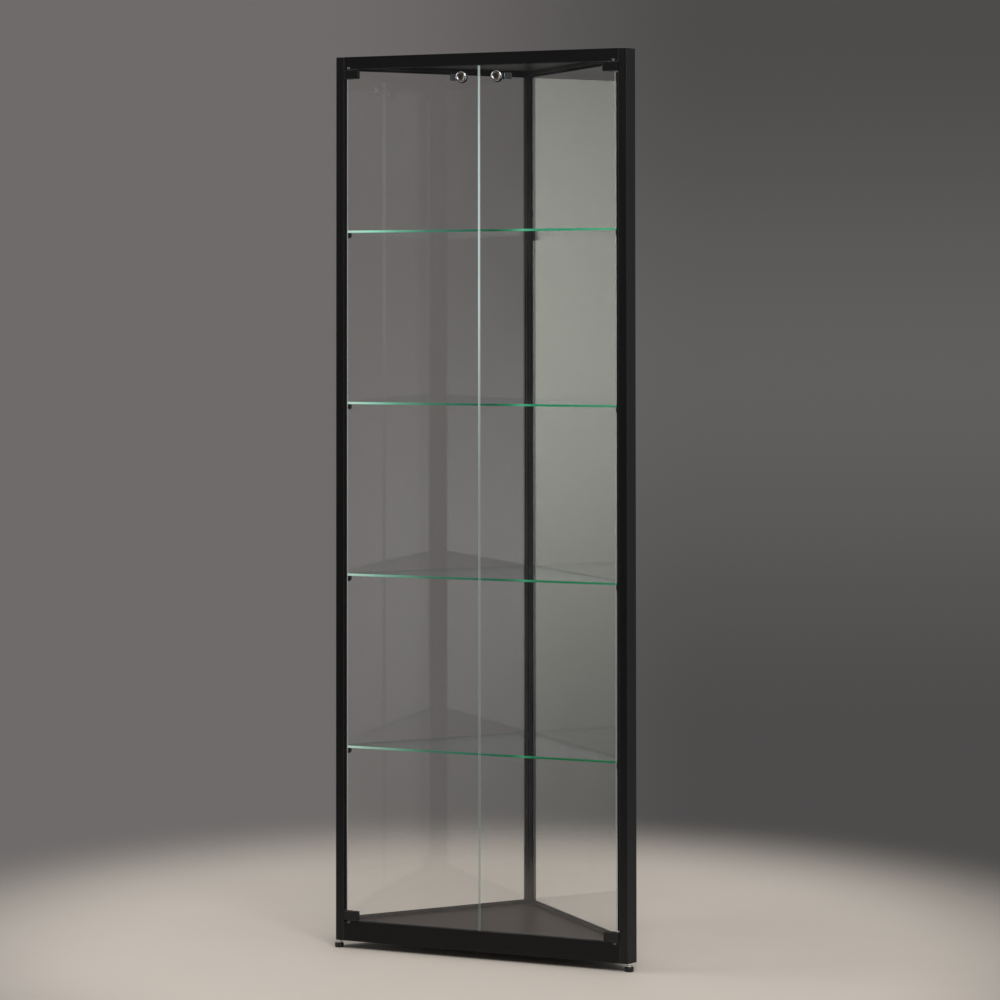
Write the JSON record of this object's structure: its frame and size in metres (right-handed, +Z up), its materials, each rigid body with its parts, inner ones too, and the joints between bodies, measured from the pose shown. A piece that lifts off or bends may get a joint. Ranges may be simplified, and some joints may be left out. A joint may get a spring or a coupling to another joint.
{
  "type": "corner display cabinet",
  "caption": "Tall corner display cabinet: black profile frame, two frameless glass doors with corner pivots and cam locks, glazed sides, adjustable glass shelves, levelling feet.",
  "frame": {"origin": "middle of the footprint's bounding rectangle at floor level, where the pads rest", "axes": "+Z up, the doors face -Y, the square wall corner points to +Y, +X to the right seen from the front"},
  "size_m": [0.6958, 0.3792, 1.984],
  "materials": {
    "frame_black": "black coated satin",
    "base_board": "laminated satin",
    "top_board": "laminated satin",
    "side_glass": "polished clear",
    "door_glass": "polished clear",
    "shelf_glass": "polished clear with green edge",
    "black_rubber": "matt",
    "black_plastic": "matt",
    "hinge_black": "black satin",
    "nut_black": "black satin",
    "screw_steel": "zinc plated",
    "bright_steel": "bright zinc plated",
    "lock_chrome": "polished",
    "foot_plastic": "matt"
  },
  "bodies": {
    "frame": {"post_left": "frame_black", "post_right": "frame_black", "post_rear": "frame_black", "rail_bottom_front": "frame_black", "rail_bottom_left": "frame_black", "rail_bottom_right": "frame_black", "rail_top_front": "frame_black", "rail_top_left": "frame_black", "rail_top_right": "frame_black", "base_panel": "base_board", "top_panel": "top_board", "pane_left": "side_glass", "pane_right": "side_glass", "gasket_left": "black_rubber", "gasket_right": "black_rubber", "seal_left": "black_rubber", "seal_right": "black_rubber", "corner_plugs_bottom": "black_plastic", "corner_plugs_top": "black_plastic", "post_caps": "black_plastic", "frame_screws": "screw_steel", "foot_bushes": "bright_steel", "foot_locknuts": "bright_steel"},
    "door_left": {"door_left_glass": "door_glass", "door_left_hinges": "hinge_black", "door_left_pins": "bright_steel", "door_left_hinge_screws": "screw_steel", "lock_left_body": "lock_chrome", "lock_left_nut": "nut_black"},
    "lock_left": {"lock_left_plug": "lock_chrome", "lock_left_cam": "lock_chrome", "lock_left_cam_screw": "screw_steel"},
    "door_right": {"door_right_glass": "door_glass", "door_right_hinges": "hinge_black", "door_right_pins": "bright_steel", "door_right_hinge_screws": "screw_steel", "lock_right_body": "lock_chrome", "lock_right_nut": "nut_black"},
    "lock_right": {"lock_right_plug": "lock_chrome", "lock_right_cam": "lock_chrome", "lock_right_cam_screw": "screw_steel"},
    "shelf_1": {"shelf_1_glass": "shelf_glass", "shelf_1_bearers": "hinge_black", "shelf_1_screws": "screw_steel"},
    "shelf_2": {"shelf_2_glass": "shelf_glass", "shelf_2_bearers": "hinge_black", "shelf_2_screws": "screw_steel"},
    "shelf_3": {"shelf_3_glass": "shelf_glass", "shelf_3_bearers": "hinge_black", "shelf_3_screws": "screw_steel"},
    "shelf_4": {"shelf_4_glass": "shelf_glass", "shelf_4_bearers": "hinge_black", "shelf_4_screws": "screw_steel"},
    "foot_left": {"foot_left_pad": "foot_plastic"},
    "foot_left_screw": {"foot_left_stem": "bright_steel"},
    "foot_right": {"foot_right_pad": "foot_plastic"},
    "foot_right_screw": {"foot_right_stem": "bright_steel"},
    "foot_rear": {"foot_rear_pad": "foot_plastic"},
    "foot_rear_screw": {"foot_rear_stem": "bright_steel"}
  },
  "joints": [
    {"name": "door_left_swing", "type": "hinge", "parent": "frame", "child": "door_left", "pos_m": [-0.30675, -0.18356, 1.01], "axis": [0, 0, -1], "range_deg": [0, 130]},
    {"name": "lock_left_turn", "type": "hinge", "parent": "door_left", "child": "lock_left", "pos_m": [-0.041, -0.18056, 1.932], "axis": [0, 1, 0], "range_deg": [0, 90]},
    {"name": "door_right_swing", "type": "hinge", "parent": "frame", "child": "door_right", "pos_m": [0.30675, -0.18356, 1.01], "axis": [0, 0, 1], "range_deg": [0, 130]},
    {"name": "lock_right_turn", "type": "hinge", "parent": "door_right", "child": "lock_right", "pos_m": [0.041, -0.18056, 1.932], "axis": [0, -1, 0], "range_deg": [0, 90]},
    {"name": "shelf_1_height", "type": "slide", "parent": "frame", "child": "shelf_1", "axis": [0, 0, 1], "range_m": [-0.15, 0.15]},
    {"name": "shelf_2_height", "type": "slide", "parent": "frame", "child": "shelf_2", "axis": [0, 0, 1], "range_m": [-0.15, 0.15]},
    {"name": "shelf_3_height", "type": "slide", "parent": "frame", "child": "shelf_3", "axis": [0, 0, 1], "range_m": [-0.15, 0.15]},
    {"name": "shelf_4_height", "type": "slide", "parent": "frame", "child": "shelf_4", "axis": [0, 0, 1], "range_m": [-0.15, 0.15]},
    {"name": "foot_left_height", "type": "slide", "parent": "frame", "child": "foot_left", "axis": [0, 0, 1], "range_m": [-0.015, 0.002]},
    {"name": "foot_left_turn", "type": "hinge", "parent": "foot_left", "child": "foot_left_screw", "pos_m": [-0.3345, -0.17106, 0.02], "axis": [0, 0, 1], "range_deg": [-5400, 720]},
    {"name": "foot_right_height", "type": "slide", "parent": "frame", "child": "foot_right", "axis": [0, 0, 1], "range_m": [-0.015, 0.002]},
    {"name": "foot_right_turn", "type": "hinge", "parent": "foot_right", "child": "foot_right_screw", "pos_m": [0.3345, -0.17106, 0.02], "axis": [0, 0, 1], "range_deg": [-5400, 720]},
    {"name": "foot_rear_height", "type": "slide", "parent": "frame", "child": "foot_rear", "axis": [0, 0, 1], "range_m": [-0.015, 0.002]},
    {"name": "foot_rear_turn", "type": "hinge", "parent": "foot_rear", "child": "foot_rear_screw", "pos_m": [0, 0.17881, 0.02], "axis": [0, 0, 1], "range_deg": [-5400, 720]}
  ],
  "couplings": [
    {"joint": "foot_left_turn", "follows": "foot_left_height", "rad_per_m": 6283.2},
    {"joint": "foot_right_turn", "follows": "foot_right_height", "rad_per_m": 6283.2},
    {"joint": "foot_rear_turn", "follows": "foot_rear_height", "rad_per_m": 6283.2}
  ]
}
